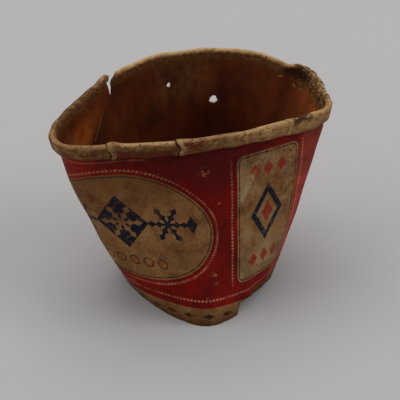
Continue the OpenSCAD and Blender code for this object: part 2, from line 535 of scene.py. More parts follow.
def crowded_stations():
    """Shares of a turn for the mesh's stations, closer together at the cracks, the tear and the lap."""
    turn = np.linspace(0, 1, 40 * MESH_STATIONS, endpoint=False)
    marks = [at for at, _, _ in BRIM_CRACKS] + [TEAR_AT, seam.max()]
    crowd = 1 + CROWDING * sum(hump(turn, at, CROWDED_MM) for at in marks)
    run = np.concatenate([[0], np.cumsum(crowd)])
    return np.interp(np.arange(MESH_STATIONS) / MESH_STATIONS * run[-1], run, np.append(turn, 1.0))


def wavy_line(turn, longest, shortest, size):
    """A seeded wavy line that closes round the tub: the waves' lengths and their usual size, in mm."""
    counts = np.arange(max(1, round(round_mouth / longest)), round(round_mouth / shortest) + 1)
    weights = dice.normal(size=len(counts))
    phases = dice.uniform(0, math.tau, len(counts))
    waves = np.cos(math.tau * counts * np.asarray(turn)[..., None] + phases) @ weights
    return size * waves / np.sqrt(np.sum(weights ** 2) / 2)


def lumps(turn, up, longest, shortest, size, count=48):
    """Seeded lumps over the wall, with waves of those lengths in every direction."""
    total = np.zeros(np.broadcast(turn, up).shape)
    for _ in range(count):
        length = math.exp(dice.uniform(math.log(shortest), math.log(longest)))
        heading, phase = dice.uniform(0, math.tau, 2)
        across = max(1, round(abs(math.cos(heading)) * round_mouth / length))
        across = math.copysign(across, math.cos(heading))
        total = total + np.cos(math.tau * (across * turn + math.sin(heading) * up / length) + phase)
    return size * total / math.sqrt(count / 2)


stations = crowded_stations()
print("mesh stations", len(stations), "closest", round(np.diff(stations).min() * round_mouth, 3), "mm")

# %% How the brim has changed at each station
TEAR_TIP_LIFT, TEAR_TIP_RUN = 0.6, 6.0
# Where the crest stands higher or lower and the lower edge hangs lower or higher: turn, mm, run in mm.
CREST_RISES = [
    (0.385, 0.7, 6), (0.185, 0.6, 9), (0.120, 0.7, 9), (0.060, 0.7, 9), (0.890, -0.5, 9), (0.655, 0.7, 12),
    (0.1335, 0.35, 2.0), (0.1480, -0.5, 1.8), (0.0990, -0.6, 4), (0.7025, 0.5, 1.5),
]
EDGE_DROPS = [(0.655, -0.7, 12), (0.800, -0.6, 9), (0.880, -0.2, 10), (0.945, 0.4, 9)]
# Stretches of the brim, as shares of a turn: where a change starts, is full, fades and ends. The face is
# pressed in along one, most of all near its lower edge, and the corner at the right is crumpled.
PRESSED, PRESSED_MM = (0.697, 0.707, 0.773, 0.783), 0.45
CRUMPLED = (0.015, 0.035, 0.120, 0.150)
CRACK_HALF_MM, SLIP_RUN_MM = 0.28, 7.0


def brim_changes():
    """Per station, in mm: how far the crest rises, how far the lower edge drops, how far the face swells."""
    rise = wavy_line(stations, 45, 9, 0.10)
    drop = wavy_line(stations, 40, 7, 0.14)
    swell = wavy_line(stations, 30, 5, 0.08)
    for at, depth, slip in BRIM_CRACKS:
        groove = depth * hump(stations, at, CRACK_HALF_MM)
        after = mm_from(stations, at)
        slipped = slip * np.where(after > 0, np.exp(-np.abs(after) / SLIP_RUN_MM), 0)
        rise += slipped - 0.45 * groove
        swell += 0.5 * slipped - groove
    rise += sum(height * hump(stations, at, run) for at, height, run in CREST_RISES)
    drop += sum(fall * hump(stations, at, run) for at, fall, run in EDGE_DROPS)
    after = mm_from(stations, TEAR_AT)
    rise += np.where(after > 0, TEAR_TIP_LIFT * np.exp(-np.abs(after) / TEAR_TIP_RUN), 0)
    return rise, drop, swell


crest_rise, edge_drop, face_swell = brim_changes()
crumpled = span(stations, *CRUMPLED)
print("crest rises between", crest_rise.min().round(2), "and", crest_rise.max().round(2), "mm")

# %% [markdown]
# ## The section of the card
#
# If the tub is cut from top to bottom, the card shows as one thin strip: up the inside, over the crest,
# down the face of the roll, tucked under and up inside the roll, then down the printed outside to the
# foot. Sweeping this one section round the tub makes wall and brim as one sheet, as the real one is.
# A row of points along it also knows how far it lies from the crest, which the finishes use later.

# %% Points along the section
# The brim's sizes in mm, which are those of the part's source.
BRIM_HEIGHT, BRIM_THICK, TUCK_GAP = 4.2, 2.1, 0.3
half_card = card / 2
roll = (BRIM_THICK - card) / 2
crest_centre = slope - half_card - roll
tuck_centre = slope - BRIM_HEIGHT + half_card + roll
tuck_end_deg = 360 - math.degrees(math.acos((roll - half_card - TUCK_GAP) / (roll + half_card)))
WALL_ROWS = 42


def arc(centre, radius, start_deg, end_deg, count):
    """Points of the roll: columns are the distance up the slope and the distance out."""
    a = np.radians(np.linspace(start_deg, end_deg, count))
    return np.stack([centre + radius * np.sin(a), roll - radius * np.cos(a)], axis=1)


def roll_points():
    outer, inner = roll + half_card, roll - half_card
    face = np.linspace(crest_centre, tuck_centre, 7)[1:-1]
    back = np.linspace(tuck_centre, crest_centre, 4)[1:-1]
    return [
        arc(crest_centre, outer, 0, 180, 15),
        np.stack([face, np.full_like(face, roll + outer)], axis=1),
        arc(tuck_centre, outer, 180, tuck_end_deg, 9),
        arc(tuck_centre, inner, tuck_end_deg, 180, 7),
        np.stack([back, np.full_like(back, roll + inner)], axis=1),
        arc(crest_centre, inner, 180, 0, 9),
    ]


roll_parts = roll_points()
roll_path = np.concatenate(roll_parts)
row_shares = np.linspace(0, 1, WALL_ROWS) ** 0.8
inner_rows, outer_rows = row_shares[:-1], row_shares[::-1][1:]
section_points = len(inner_rows) + len(roll_path) + len(outer_rows)
on_outside = np.arange(section_points) >= len(inner_rows) + len(roll_path)
on_roll = (np.arange(section_points) >= len(inner_rows)) & ~on_outside
print("section has", section_points, "points, mesh has", section_points * len(stations), "faces")

# %% The section at every station
FOOT_WEAR_MM = 0.12
# The worn notch at the front right: share of a turn, and mm up the slope to the card's edge.
FOOT_NOTCH = [
    (0.874, 0.0), (0.8815, 2.8), (0.8950, 3.5), (0.9080, 3.3), (0.934, 2.2), (0.969, 1.8), (0.999, 1.0),
]
CREST_REACH_MM = 6.0


def section_table():
    """For every station and section point: distance up the slope, distance out, distance from the crest."""
    worn = np.interp(stations, step_turns, foot_edge_steps, period=1)
    worn = np.maximum(worn, np.interp(stations, *zip(*FOOT_NOTCH), left=0))
    ragged = np.abs(wavy_line(stations, 6, 1.2, 0.18)) * ease(worn, 0.2, 1.0)
    foot = worn + ragged + np.clip(wavy_line(stations, 25, 2, FOOT_WEAR_MM), 0, None)
    foot = foot[:, None]
    up = np.concatenate([
        foot + (crest_centre - foot) * inner_rows,
        np.broadcast_to(roll_path[:, 0], (len(stations), len(roll_path))),
        foot + (crest_centre - foot) * outer_rows,
    ], axis=1)
    out = np.concatenate([
        np.full(len(inner_rows), -half_card), roll_path[:, 1], np.full(len(outer_rows), half_card)
    ])
    out = np.broadcast_to(out, up.shape).copy()
    steps = np.hypot(np.diff(up, axis=1), np.diff(out, axis=1))
    run = np.concatenate([np.zeros((len(stations), 1)), np.cumsum(steps, axis=1)], axis=1)
    crest_point = len(inner_rows) + len(roll_parts[0]) // 2
    return up, out, run - run[:, crest_point:crest_point + 1]


up, out, from_crest = section_table()
flat_up = up.copy()
print("the card runs", (from_crest.max() - from_crest.min()).round(1), "mm from foot to foot over the brim")

# %% [markdown]
# Now the damage is added. The brim's changes fade down the wall, the long buckles fade towards the foot,
# which is held by the base, and the crease inside is a shallow fold that runs down from the tear.

# %% Add the damage
BUCKLE_MM, BUCKLE_LONGEST, BUCKLE_SHORTEST = 0.13, 45, 12
# The foot holds the wall still up to the first height in mm, and it is free to buckle from the second.
HELD_UP_TO, FREE_FROM = 4, 18
CRUMPLE_MM, CRUMPLE_LONGEST, CRUMPLE_SHORTEST, CRUMPLE_SPREAD = 0.17, 5.0, 1.1, 0.35
# Stretches of the section that crumple, and where cracks wander, in mm from the crest, negative inside.
SQUASHED_FROM_CREST, WANDER_FROM_CREST = (-7, -2, 4, 9), (-2.5, -0.5, 5, 7)
# The crease starts under the tear and runs down and to the left: share of a turn, and mm up the slope.
CREASE_TOP, CREASE_FOOT = (0.4522, 48.9), (0.5022, 38.6)
CREASE_MM, CREASE_WIDTH = 0.35, 0.8
# The outer end of the lap is a sharp step, and on its other side the card climbs over the inner end.
SEAM_EDGE_MM, SEAM_CLIMB_MM = 0.15, 3.0
# How far a crack wanders to either side on its way over the brim, and how wide the card moves with it.
CRACK_WANDER_MM, CRACK_SPREAD_MM = 0.42, 2.5


def mm_from_crease(turn, height):
    """Distance in mm round the tub from the crease's line, at a height up the slope."""
    down = (CREASE_TOP[1] - height) / (CREASE_TOP[1] - CREASE_FOOT[1])
    return mm_from(turn, CREASE_TOP[0] + (CREASE_FOOT[0] - CREASE_TOP[0]) * down)


def crack_wander():
    """How far each point of the brim moves round, in mm, so that no crack is a straight cut."""
    bends = np.random.default_rng(7)
    moved = np.zeros(up.shape)
    for at, _, _ in BRIM_CRACKS:
        first, second = bends.uniform(0, math.tau, 2)
        bent = np.sin(1.1 * from_crest + first) + 0.5 * np.sin(2.7 * from_crest + second)
        moved += bent * hump(turn_grid, at, CRACK_SPREAD_MM)
    return CRACK_WANDER_MM * moved * span(from_crest, *WANDER_FROM_CREST)


turn_grid = np.broadcast_to(stations[:, None], up.shape)
near_crest = ease(flat_up, slope - CREST_REACH_MM, crest_centre) * ~on_outside
lower_half = np.clip((crest_centre - flat_up) / (crest_centre - tuck_centre), 0, 1) * on_roll
face = ease(out, roll, roll + roll) * on_roll
up = up + crest_rise[:, None] * near_crest * (1 - lower_half) - edge_drop[:, None] * lower_half
out = out + face_swell[:, None] * face
out = out - PRESSED_MM * span(stations, *PRESSED)[:, None] * face * lower_half

buckle = lumps(turn_grid, flat_up, BUCKLE_LONGEST, BUCKLE_SHORTEST, BUCKLE_MM)
out = out + buckle * ease(flat_up, HELD_UP_TO, FREE_FROM)
crumple = lumps(turn_grid, from_crest, CRUMPLE_LONGEST, CRUMPLE_SHORTEST, CRUMPLE_MM, count=90)
squashed = crumpled[:, None] * span(from_crest, *SQUASHED_FROM_CREST) * ~on_outside
out = out + (crumple + CRUMPLE_SPREAD) * squashed
up = up + 0.5 * np.roll(crumple, 7, axis=1) * squashed * on_roll

fold = mm_from_crease(turn_grid, flat_up)
in_crease = span(flat_up, CREASE_FOOT[1] - 4, CREASE_FOOT[1], CREASE_TOP[1], CREASE_TOP[1] + 2)
ridge, dip = np.exp(-(fold / CREASE_WIDTH) ** 2), np.exp(-((fold - 4) / 4) ** 2)
out = out + CREASE_MM * (ridge - 0.5 * dip) * in_crease

climb, edge = SEAM_CLIMB_MM / round_mouth, SEAM_EDGE_MM / round_mouth
lap = span(stations, seam.min() - climb, seam.min(), seam.max(), seam.max() + edge)
out = out + card * lap[:, None] * on_outside * (1 - ease(flat_up, tuck_centre - 3, tuck_centre))
print("the wall is moved by up to", np.abs(buckle).max().round(2), "mm of buckling")

# %% [markdown]
# ## The mesh of the wall
#
# The grid of stations and section points closes on itself both ways, so the card is one watertight
# sheet with a real thickness. Three UV maps go with it and carry what the finishes need to know: "print"
# is the place on the printed blank, "section" the distance from the crest and "foot" the distance from
# the foot's edge. The print was cut a little crooked, so its height is not quite the height up the slope.

# %% Build the sheet
# How far the print runs off the foot's edge, in mm, at shares of a turn.
PRINT_SLIP = [(0.0, 2.6), (0.1, 2.0), (0.3, 1.2), (0.5, 1.6), (0.675, 1.35), (0.745, 0.5), (0.79, 0.1),
              (0.83, 0.4), (0.895, 1.95), (0.93, 1.9), (0.965, 2.6)]
# How far it is lifted at the brim, in the same way.
PRINT_LIFT = [(0.0, 1.5), (0.15, 0.0), (0.80, 0.0), (0.87, 0.6), (0.966, 1.5)]
OUTSIDE, INSIDE, EDGE = 0, 1, 2


def print_heights():
    def at_stations(table):
        shift = smooth_round(np.interp(step_turns, *zip(*table), period=1), keep=30)
        return np.interp(stations, step_turns, shift, period=1)[:, None]

    share = flat_up / slope
    return flat_up + at_stations(PRINT_SLIP) * (1 - share) ** 2 - at_stations(PRINT_LIFT) * share


def build_sheet():
    points = on_wall(turn_grid + crack_wander() / round_mouth, up, out) * MM
    count, width = up.shape
    i, j = np.meshgrid(np.arange(count), np.arange(width), indexing="ij")
    i_next, j_next = (i + 1) % count, (j + 1) % width
    corner_steps = [(i, j), (i, j_next), (i_next, j_next), (i_next, j)]
    faces = np.stack([a * width + b for a, b in corner_steps], axis=-1)
    mesh = bpy.data.meshes.new("card_wall")
    mesh.from_pydata(points.reshape(-1, 3).tolist(), [], faces.reshape(-1, 4).tolist())
    full_turn = np.where(i_next == 0, 1.0, stations[i_next])
    corner_turns = np.stack([stations[i], stations[i], full_turn, full_turn], axis=-1)
    above_foot = from_crest[:, -1:] - from_crest
    maps = {"print": print_heights() / slope, "section": from_crest, "foot": above_foot}
    for name, values in maps.items():
        corner_values = np.stack([values[a, b] for a, b in corner_steps], axis=-1)
        layer = mesh.uv_layers.new(name=name)
        layer.data.foreach_set("uv", np.stack([corner_turns, corner_values], axis=-1).ravel())
    zone = np.where(on_outside, OUTSIDE, INSIDE)
    zone[-1] = EDGE
    zones = np.broadcast_to(zone, (count, width)).ravel().astype(np.int32)
    mesh.polygons.foreach_set("material_index", zones)
    mesh.polygons.foreach_set("use_smooth", np.ones(count * width, dtype=bool))
    mesh.update()
    wall = bpy.data.objects.new("card_wall", mesh)
    bpy.context.scene.collection.objects.link(wall)
    return wall


wall = build_sheet()
print("sheet has", len(wall.data.polygons), "faces")

# %% [markdown]
# ## The tear and the two holes
#
# The tear runs down from the brim, and something once poked two holes through the back wall. Card tears
# along its fibres, so the edges are ragged and the pale core shows. Each cut is a prism with a ragged
# outline, taken out with an exact Boolean, which also gives the cut its own faces through the thickness.

# %% Ragged cutters
# Outline of the tear about the rim: anticlockwise distance and height in mm. Its cut runs back and down.
TEAR_OUTLINE = [
    (-0.10, 3.0), (-0.18, 0.9), (0.24, -0.5), (1.05, -0.95), (0.66, -2.0), (0.42, -3.2), (0.16, -5.0),
    (-0.30, -2.9), (-0.26, -1.4), (-0.85, -0.55), (-1.75, 0.2), (-2.2, 1.2), (-2.4, 3.0),
]
TEAR_HEADING = (0, 0.85, -0.53)
# The holes: share of a turn, share of the slope, width and height in mm.
HOLES = [(0.267, 0.731, 2.4, 2.2), (0.340, 0.834, 1.25, 1.45)]
CUT_REACH = 4.5
HOLE_CORNERS = 22


def ragged_oval(width, height):
    angle = np.arange(HOLE_CORNERS) * math.tau / HOLE_CORNERS
    torn = 1 + dice.uniform(-0.16, 0.16, HOLE_CORNERS) + 0.12 * np.cos(3 * angle + dice.uniform(0, math.tau))
    return np.stack([width / 2 * torn * np.cos(angle), height / 2 * torn * np.sin(angle)], axis=1)


def add_prism(shape, turn, height, outline, heading=None):
    """A prism through the wall with that outline, added to a bmesh. It heads out of the wall if not told."""
    here, above = on_wall(np.full(2, turn), np.array([height, height + 1.0]), np.zeros(2))
    outward = on_wall(turn, height, 1.0) - here
    upward = (above - here) / np.linalg.norm(above - here)
    across = np.cross((0, 0, 1.0), outward)
    heading = outward if heading is None else np.array(heading)
    rings = []
    for reach in (-CUT_REACH, CUT_REACH):
        ring = [here + across * a + upward * b + heading * reach for a, b in outline]
        rings.append([shape.verts.new(point * MM) for point in ring])
    low, high = rings
    shape.faces.new(low[::-1])
    shape.faces.new(high)
    for k in range(len(low)):
        n = (k + 1) % len(low)
        shape.faces.new((low[k], low[n], high[n], high[k]))


def add_cutters():
    shape = bmesh.new()
    add_prism(shape, TEAR_AT, slope, TEAR_OUTLINE, TEAR_HEADING)
    for turn, share, width, height in HOLES:
        add_prism(shape, turn, share * slope, ragged_oval(width, height))
    bmesh.ops.recalc_face_normals(shape, faces=shape.faces)
    mesh = bpy.data.meshes.new("cutters")
    shape.to_mesh(mesh)
    shape.free()
    cutters = bpy.data.objects.new("cutters", mesh)
    bpy.context.scene.collection.objects.link(cutters)
    return cutters


cutters = add_cutters()
print("cutters have", len(cutters.data.vertices), "corners")

# %% [markdown]
# ## Finishes that more than one surface shares
#
# Every card surface here has fibres, stains and flecks, each in its own amount. So each effect is a
# node group with named sockets, made once and placed in each material with its own values. All of them
# take a place in millimetres, so that a fibre stays the size of a fibre on every piece.

# %% Shared node groups


def new_group(name, inputs, outputs):
    """A node group with those sockets, as (tree, graph, its input node, its output node)."""
    tree = bpy.data.node_groups.new(name, "ShaderNodeTree")
    for label, kind in inputs.items():
        tree.interface.new_socket(label, in_out="INPUT", socket_type=kind)
    for label, kind in outputs.items():
        tree.interface.new_socket(label, in_out="OUTPUT", socket_type=kind)
    g = Graph(tree)
    return tree, g, g.node("NodeGroupInput").outputs, g.node("NodeGroupOutput").inputs


NUMBER, VECTOR = "NodeSocketFloat", "NodeSocketVector"


def aged_card_group():
    """Uneven ageing in soft clouds, mottling between the fibres, and the fibres' own height."""
    tree, g, given, wanted = new_group(
        "aged card", {"Place": VECTOR}, {"Clouds": NUMBER, "Mottle": NUMBER, "Height": NUMBER})
    clouds = g.noise(given["Place"], 11.0, detail=4, rough=0.6)
    mottle = g.noise(given["Place"], 2.4, detail=5, rough=0.65)
    fibres = g.noise(g.stretch(given["Place"], 1.0, 1.0, 0.35), 0.30, detail=3, rough=0.6)
    g.feed(wanted["Clouds"], g.rise(clouds, 0.3, 0.7))
    g.feed(wanted["Mottle"], g.rise(mottle, 0.3, 0.7))
    g.feed(wanted["Height"], g.add(g.mul(mottle, 0.7), g.mul(fibres, 0.3)))
    return tree


def stain_group():
    """A soaked-in stain with a darker tide line. Spread goes from 0, almost none, to 1, nearly all over."""
    tree, g, given, wanted = new_group(
        "stain", {"Place": VECTOR, "Size": NUMBER, "Spread": NUMBER}, {"Mask": NUMBER, "Tide": NUMBER})
    made = g.node("ShaderNodeTexNoise")
    g.feed(made.inputs["Vector"], given["Place"])
    g.feed(made.inputs["Scale"], g.div(1.0, given["Size"]))
    made.inputs["Detail"].default_value = 4.0
    made.inputs["Roughness"].default_value = 0.55
    made.inputs["Distortion"].default_value = 0.5
    level = g.sub(made.outputs["Fac"], g.sub(0.72, g.mul(given["Spread"], 0.42)))
    g.feed(wanted["Mask"], g.rise(level, -0.03, 0.06))
    g.feed(wanted["Tide"], g.mul(g.rise(level, -0.01, 0.0), g.rise(level, 0.035, 0.0)))
    return tree


def fleck_group():
    """Small scattered specks. Amount is the share of places that have one."""
    tree, g, given, wanted = new_group(
        "flecks", {"Place": VECTOR, "Size": NUMBER, "Amount": NUMBER}, {"Mask": NUMBER})
    bent = g.node("ShaderNodeVectorMath", operation="ADD")
    wobble = g.node("ShaderNodeTexNoise")
    g.feed(wobble.inputs["Vector"], given["Place"])
    g.feed(wobble.inputs["Scale"], g.div(2.0, given["Size"]))
    g.feed(bent.inputs[0], given["Place"])
    g.feed(bent.inputs[1], wobble.outputs["Color"])
    cells = g.node("ShaderNodeTexVoronoi")
    g.feed(cells.inputs["Vector"], bent.outputs[0])
    g.feed(cells.inputs["Scale"], g.div(1.0, given["Size"]))
    chance, girth, _ = g.split(cells.outputs["Color"])
    there = g.math("LESS_THAN", chance, given["Amount"])
    edge = g.sub(g.add(0.12, g.mul(girth, 0.3)), cells.outputs["Distance"])
    g.feed(wanted["Mask"], g.mul(there, g.rise(edge, 0.0, 0.08)))
    return tree


aged_card, stain, flecks = aged_card_group(), stain_group(), fleck_group()
print("shared groups", [tree.name for tree in (aged_card, stain, flecks)])

# %% Parts of the print


def lozenge_group():
    """Distance in mm from the edge of a lozenge, negative inside."""
    tree, g, given, wanted = new_group(
        "lozenge", {"X": NUMBER, "Y": NUMBER, "Half Width": NUMBER, "Half Height": NUMBER},
        {"Distance": NUMBER})
    x = g.div(g.absolute(given["X"]), given["Half Width"])
    y = g.div(g.absolute(given["Y"]), given["Half Height"])
    girth = g.div(g.mul(given["Half Width"], given["Half Height"]),
                  g.length(given["Half Width"], given["Half Height"]))
    g.feed(wanted["Distance"], g.mul(g.sub(g.add(x, y), 1.0), girth))
    return tree


def bead_row_group():
    """A row of round beads along a line: how far along it, and how far to the side of it, in mm."""
    tree, g, given, wanted = new_group(
        "bead row", {"Along": NUMBER, "Across": NUMBER, "Pitch": NUMBER, "Radius": NUMBER}, {"Mask": NUMBER})
    step = g.math("FRACT", g.div(given["Along"], given["Pitch"]))
    x = g.mul(g.sub(step, 0.5), given["Pitch"])
    g.feed(wanted["Mask"], g.inside(g.sub(g.length(x, given["Across"]), given["Radius"]), 0.09))
    return tree


lozenge, bead_row = lozenge_group(), bead_row_group()
print("print parts", [tree.name for tree in (lozenge, bead_row)])

# %% [markdown]
# ## The printed outside
#
# The blank was printed in red, navy and black on buff card before it was rolled. An image would give the
# print at one size only, so it is drawn here with distances: a node works out how far a place is from the
# edge of an oval, a panel or a lozenge, and that gives the field, its outline and its row of beads. The
# fields hold plain ornaments, snow crystals and lozenges, and the same design comes twice round the tub.

# %% Where the print lies
# Shares of a turn and mm. The oval's left end droops, and the panel leans by so much of a turn for each mm.
OVAL_AT, OVAL_UP, OVAL_HALF_WIDTH, OVAL_HALF_HEIGHT = 0.187, 28.2, 24.2, 16.7
OVAL_DROOP, OVAL_DROOPS_FROM = 1.5, (-0.02, -0.10)
PANEL_AT, PANEL_UP, PANEL_HALF_WIDTH, PANEL_HALF_HEIGHT = 0.4280, 27.9, 9.5, 17.6
PANEL_CORNER, PANEL_LEAN, PANEL_BEADS_OUT = 2.2, -0.00057, 1.6
DESIGN_REPEATS = 0.5
FOOT_BAND, FOOT_BEADS, BRIM_BEADS = 5.4, 7.6, 48.7
BEAD_PITCH, BEAD_RADIUS, BEADS_OUT = 0.94, 0.36, 1.2
OUTLINE_IN, OUTLINE_HALF = 0.62, 0.17
# Scuffs on the red: share of a turn, mm up the print, and size in mm.
SCUFFS = [(0.817, 44.1, 2.3), (0.829, 13.7, 2.4), (0.655, 9.0, 1.6), (0.33, 36.0, 2.0)]
INK = {
    "red": colour(134, 10, 7), "dark red": colour(84, 5, 3), "pale red": colour(160, 70, 54),
    "buff": colour(138, 96, 56), "brown buff": colour(95, 57, 27), "pale buff": colour(160, 121, 76),
    "rubbed buff": colour(148, 128, 96), "navy": colour(20, 24, 36), "black": colour(30, 19, 13),
    "panel red": colour(126, 42, 28), "orange": colour(140, 86, 38), "grime and shade": colour(44, 14, 8),
    "bead": colour(178, 112, 84),
}


def uv_parts(g, name):
    """The share of a turn, and the value that one of the wall's UV maps carries beside it."""
    return g.split(g.node("ShaderNodeUVMap", uv_map=name).outputs["UV"])[:2]


def repeated(g, value, pitch):
    """The distance from the nearest of a row of places, that far apart, with one at zero."""
    return g.mul(g.sub(g.math("FRACT", g.add(g.div(value, pitch), 0.5)), 0.5), pitch)


class PrintPlan:
    """Places on the printed blank, in mm, for the nodes that draw the print."""

    def __init__(self, g):
        self.turn, share = uv_parts(g, "print")
        self.height = g.mul(share, slope)
        self.way_round = g.add(round_foot, g.mul(share, round_mouth - round_foot))
        self.along = g.mul(self.turn, round_foot)
        aside = repeated(g, g.sub(self.turn, OVAL_AT), DESIGN_REPEATS)
        droop = g.mul(g.rise(aside, *OVAL_DROOPS_FROM), OVAL_DROOP)
        self.oval = g.mul(aside, self.way_round), g.add(g.sub(self.height, OVAL_UP), droop)
        rise = g.sub(self.height, PANEL_UP)
        leaning = g.add(PANEL_AT, g.mul(rise, PANEL_LEAN))
        aside = repeated(g, g.sub(self.turn, leaning), DESIGN_REPEATS)
        self.panel = g.mul(aside, self.way_round), rise


def oval_distance(g, x, y, half_width, half_height):
    """Distance in mm from an oval's edge, negative inside."""
    fx, fy = g.div(x, half_width), g.div(y, half_height)
    size = g.length(fx, fy)
    steepness = g.length(g.div(fx, half_width), g.div(fy, half_height))
    return g.div(g.mul(size, g.sub(size, 1.0)), g.add(steepness, 1e-4))


def panel_distance(g, x, y, half_width, half_height, corner):
    """Distance in mm from the edge of a panel with round corners, negative inside."""
    over_x = g.sub(g.absolute(x), half_width - corner)
    over_y = g.sub(g.absolute(y), half_height - corner)
    beyond = g.length(g.most(over_x, 0.0), g.most(over_y, 0.0))
    return g.sub(g.add(beyond, g.least(g.most(over_x, over_y), 0.0)), corner)


def lozenge_mask(g, x, y, half_width, half_height):
    made = g.group(lozenge, X=x, Y=y, Half_Width=half_width, Half_Height=half_height)
    return g.inside(made.outputs["Distance"])


def bead_mask(g, along, across, pitch=BEAD_PITCH, radius=BEAD_RADIUS):
    return g.group(bead_row, Along=along, Across=across, Pitch=pitch, Radius=radius).outputs["Mask"]


def crystal_mask(g, x, y, radius):
    """A six-armed snow crystal: one arm, with the plane folded into six."""
    sixth = math.tau / 6
    spoke = g.math("FRACT", g.add(g.div(g.math("ARCTAN2", y, x), sixth), 0.5))
    bearing = g.mul(g.sub(spoke, 0.5), sixth)
    size = g.length(x, y)
    out_along, aside = g.mul(size, g.math("COSINE", bearing)), g.mul(size, g.math("SINE", bearing))
    arm = g.inside(g.most(g.sub(g.absolute(aside), 0.07 * radius), g.sub(out_along, 0.8 * radius)))
    tip = lozenge_mask(g, g.sub(out_along, 0.80 * radius), aside, 0.24 * radius, 0.17 * radius)
    branch = lozenge_mask(g, g.sub(out_along, 0.42 * radius), aside, 0.18 * radius, 0.21 * radius)
    return g.most(arm, tip, branch)


print("oval", 2 * OVAL_HALF_WIDTH, "by", 2 * OVAL_HALF_HEIGHT, "mm")

# %% Draw the fields and their ornaments
# The oval's ornaments, in mm from its middle, with half widths and half heights of the lozenges.
CENTRE_UP, BIG_LOZENGE, CUT_CRYSTAL = 1.6, (7.4, 8.6), 5.6
SIDE_CRYSTALS_AT, SIDE_CRYSTAL, END_LOZENGES_AT, END_LOZENGE = 12.6, 5.4, 18.9, (1.5, 2.6)
DOTS_UP, DOTS_HALF_ROW, DOT_PITCH, DOT_RADIUS, DOT_LINE_HALF = -11.0, 10.5, 4.2, 1.35, 0.16
# The panel's, in the same way: a ring with a core, and a row of lozenges above and below it.
RING_OUTSIDE, RING_INSIDE, RING_CORE = (5.2, 8.2), (3.5, 5.5), (1.9, 3.0)
ROWS_UP, HALF_ROW, ROW_PITCH, ROW_LOZENGE = 12.4, 6.2, 4.1, (1.55, 2.0)
# The foot band's lozenges, and the finer beads under the brim.
MARK_PITCH, MARK_UP, MARK = 5.4, 0.55 * FOOT_BAND, (1.7, 0.75)
BRIM_BEAD_PITCH, BRIM_BEAD_RADIUS = 0.7, 0.3


def oval_print(g, x, y):
    """Masks of the oval: buff field, navy ornament, orange dots, thin outline, beads round it."""
    edge = oval_distance(g, x, y, OVAL_HALF_WIDTH, OVAL_HALF_HEIGHT)
    rise = g.sub(y, CENTRE_UP)
    big = lozenge_mask(g, x, rise, *BIG_LOZENGE)
    cut = crystal_mask(g, x, rise, CUT_CRYSTAL)
    sides = crystal_mask(g, g.sub(g.absolute(x), SIDE_CRYSTALS_AT), rise, SIDE_CRYSTAL)
    ends = lozenge_mask(g, g.sub(g.absolute(x), END_LOZENGES_AT), rise, *END_LOZENGE)
    in_row = g.inside(g.sub(g.absolute(x), DOTS_HALF_ROW))
    dot = g.sub(g.length(repeated(g, x, DOT_PITCH), g.sub(y, DOTS_UP)), DOT_RADIUS)
    dots = g.mul(g.inside(dot), in_row)
    dot_lines = g.mul(g.inside(g.sub(g.absolute(dot), DOT_LINE_HALF)), in_row)
    outline = g.inside(g.sub(g.absolute(g.add(edge, OUTLINE_IN)), OUTLINE_HALF))
    bearing = g.math("ARCTAN2", g.div(y, OVAL_HALF_HEIGHT), g.div(x, OVAL_HALF_WIDTH))
    round_oval = math.pi * (OVAL_HALF_WIDTH + OVAL_HALF_HEIGHT + 2 * BEADS_OUT)
    pitch = round_oval / round(round_oval / BEAD_PITCH)
    beads = bead_mask(g, g.mul(bearing, round_oval / math.tau), g.sub(edge, BEADS_OUT), pitch)
    navy = g.most(g.mul(big, g.sub(1.0, cut)), sides, ends, dot_lines)
    return g.inside(edge), navy, dots, outline, beads


def panel_print(g, x, y):
    """Masks of the panel: buff field, navy ornament, red ornament, thin outline, beads at its sides."""
    edge = panel_distance(g, x, y, PANEL_HALF_WIDTH, PANEL_HALF_HEIGHT, PANEL_CORNER)
    ring = g.mul(lozenge_mask(g, x, y, *RING_OUTSIDE), g.sub(1.0, lozenge_mask(g, x, y, *RING_INSIDE)))
    core = lozenge_mask(g, x, y, *RING_CORE)
    in_row = g.inside(g.sub(g.absolute(x), HALF_ROW))
    rows = lozenge_mask(g, repeated(g, x, ROW_PITCH), g.sub(g.absolute(y), ROWS_UP), *ROW_LOZENGE)
    outline = g.inside(g.sub(g.absolute(g.add(edge, OUTLINE_IN)), OUTLINE_HALF))
    beside = g.sub(g.absolute(x), PANEL_HALF_WIDTH + PANEL_BEADS_OUT)
    beads = g.mul(bead_mask(g, y, beside), g.inside(g.sub(g.absolute(y), PANEL_HALF_HEIGHT)))
    return g.inside(edge), ring, g.most(core, g.mul(rows, in_row)), outline, beads


def foot_print(g, plan):
    """Masks of the foot band and of its small dark lozenges, and of the bead lines at foot and brim."""
    band = g.inside(g.sub(plan.height, FOOT_BAND))
    marks = lozenge_mask(g, repeated(g, plan.along, MARK_PITCH), g.sub(plan.height, MARK_UP), *MARK)
    low = bead_mask(g, plan.along, g.sub(plan.height, FOOT_BEADS))
    high_along, high_across = g.mul(plan.turn, round_mouth), g.sub(plan.height, BRIM_BEADS)
    high = bead_mask(g, high_along, high_across, BRIM_BEAD_PITCH, BRIM_BEAD_RADIUS)
    return band, marks, low, high


print("ornaments ready")

# %% Shared steps of the materials
PRINT_SHEEN, CARD_SHEEN = 0.07, 0.08
BUMP_STRENGTH = 0.6


def place_in_mm(g):
    """The place on the tub, in mm, for effects that must not follow the print."""
    return g.stretch(g.node("ShaderNodeTexCoord").outputs["Object"], 1 / MM, 1 / MM, 1 / MM)


